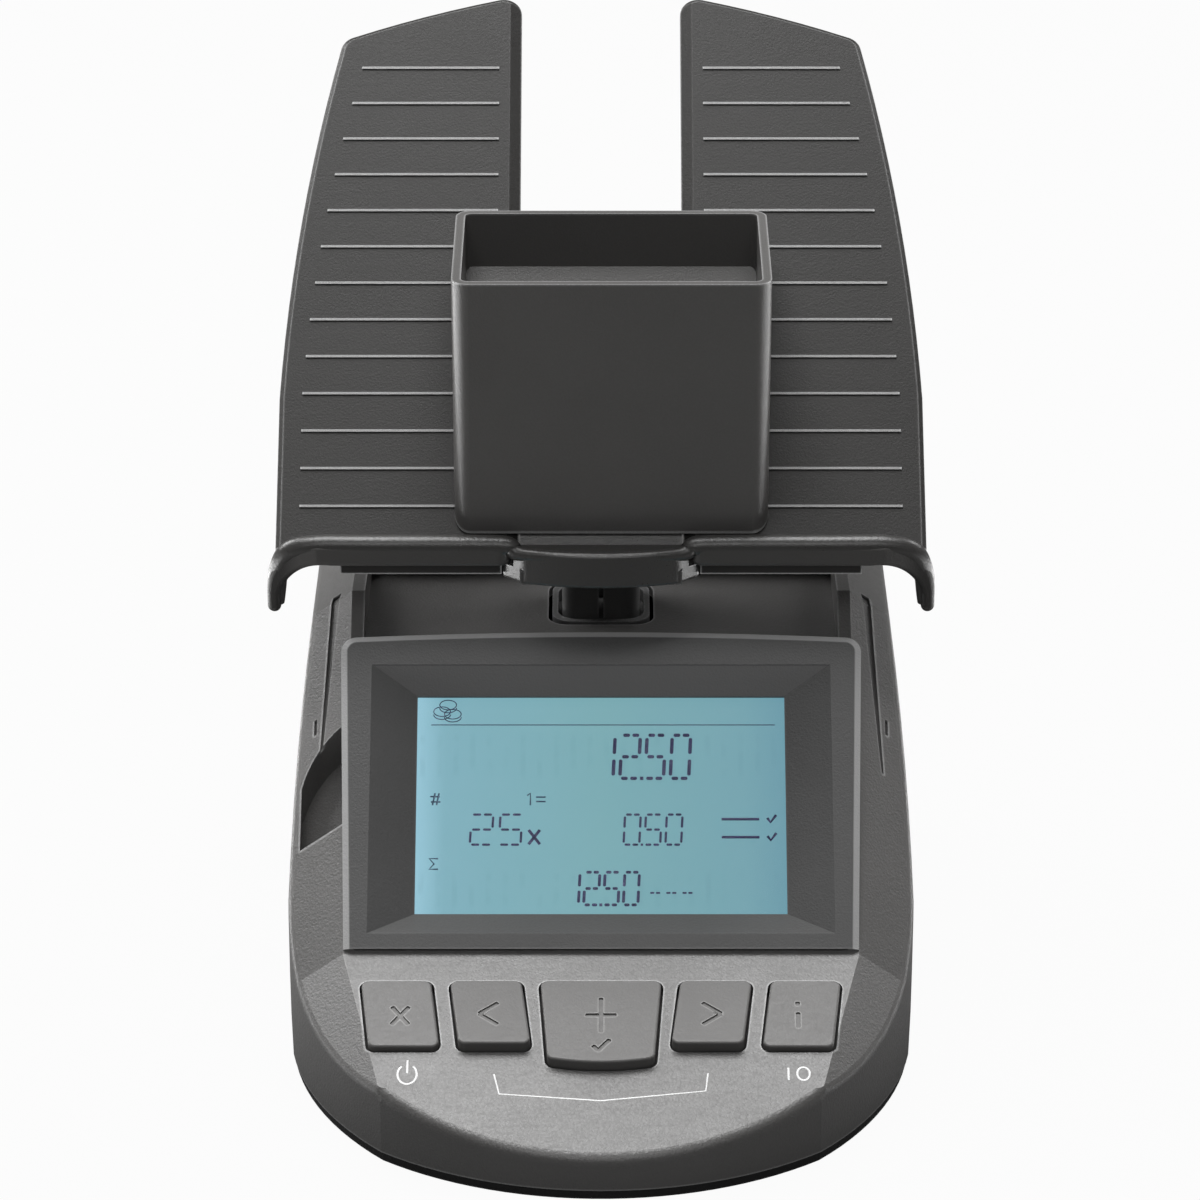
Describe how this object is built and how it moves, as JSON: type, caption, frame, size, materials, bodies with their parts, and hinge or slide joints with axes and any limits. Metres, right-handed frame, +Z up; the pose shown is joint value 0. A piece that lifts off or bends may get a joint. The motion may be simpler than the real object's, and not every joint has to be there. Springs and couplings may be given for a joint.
{
  "type": "money counting scale",
  "caption": "Money counting scale with a raked display, a key row, a removable note tray on a weighing post and a loose coin cup.",
  "frame": {"origin": "middle of the bounding box, on the table under the feet", "axes": "+Z up, the keys and the display face -Y, +X to the right of someone using it"},
  "size_m": [0.1674, 0.2406, 0.225],
  "materials": {
    "housing": "fine-grained dark grey moulding",
    "bezel": "fine-grained dark grey moulding",
    "pan": "black moulding",
    "tray": "fine-grained dark grey moulding",
    "cup": "satin dark grey moulding",
    "post": "dark grey moulding",
    "key": "satin grey moulding",
    "window": "clear",
    "lcd": "lit liquid crystal glass",
    "light_guide": "white light guide",
    "circuit_board": "green solder mask",
    "key_rubber": "grey silicone",
    "foot_rubber": "black rubber",
    "black_plastic": "black",
    "port_shell": "plated",
    "alloy": "machined",
    "steel": "zinc plated",
    "battery": "printed sleeve, plain"
  },
  "bodies": {
    "base": {"base_pan": "pan", "top_housing": "housing", "display_bezel": "bezel", "display_window": "window", "lcd_panel": "lcd", "lcd_backlight": "light_guide", "display_board": "circuit_board", "display_screws": "steel", "main_board": "circuit_board", "board_screws": "steel", "key_mat": "key_rubber", "sounder": "black_plastic", "port_board": "circuit_board", "port_screws": "steel", "dc_jack": "black_plastic", "data_port": "port_shell", "load_cell": "alloy", "load_cell_spacer": "alloy", "fixed_end_screws": "steel", "overload_stop": "steel", "battery_cells": "battery", "battery_contacts": "steel", "rubber_feet": "foot_rubber", "housing_screws": "steel"},
    "platform": {"platform_spacer": "alloy", "platform_bracket": "steel", "free_end_screws": "steel", "platform_post": "post", "post_screws": "steel"},
    "tray": {"tray_cradle": "tray", "left_note_wing": "tray", "right_note_wing": "tray", "wing_screws": "steel"},
    "cup": {"coin_cup": "cup"},
    "battery_cover": {"battery_door": "pan"},
    "clear_key_body": {"clear_key": "key"},
    "left_key_body": {"left_key": "key"},
    "plus_key_body": {"plus_key": "key"},
    "right_key_body": {"right_key": "key"},
    "info_key_body": {"info_key": "key"}
  },
  "joints": [
    {"name": "weighing_travel", "type": "slide", "parent": "base", "child": "platform", "axis": [0, 0, -1], "range_m": [0, 0.0005], "stiffness_N_per_m": 25000, "deforming": ["load_cell"]},
    {"name": "tray_lift", "type": "slide", "parent": "platform", "child": "tray", "axis": [0, 0, 1], "range_m": [0, 0.06]},
    {"name": "cup_lift", "type": "slide", "parent": "tray", "child": "cup", "axis": [0, 0, 1], "range_m": [0, 0.08]},
    {"name": "battery_door_drop", "type": "slide", "parent": "base", "child": "battery_cover", "axis": [0, 0, -1], "range_m": [0, 0.03]},
    {"name": "clear_press", "type": "slide", "parent": "base", "child": "clear_key_body", "axis": [0, 0.3746, -0.9272], "range_m": [0, 0.0012], "stiffness_N_per_m": 600},
    {"name": "left_press", "type": "slide", "parent": "base", "child": "left_key_body", "axis": [0, 0.3746, -0.9272], "range_m": [0, 0.0012], "stiffness_N_per_m": 600},
    {"name": "plus_press", "type": "slide", "parent": "base", "child": "plus_key_body", "axis": [0, 0.3746, -0.9272], "range_m": [0, 0.0012], "stiffness_N_per_m": 600},
    {"name": "right_press", "type": "slide", "parent": "base", "child": "right_key_body", "axis": [0, 0.3746, -0.9272], "range_m": [0, 0.0012], "stiffness_N_per_m": 600},
    {"name": "info_press", "type": "slide", "parent": "base", "child": "info_key_body", "axis": [0, 0.3746, -0.9272], "range_m": [0, 0.0012], "stiffness_N_per_m": 600}
  ]
}
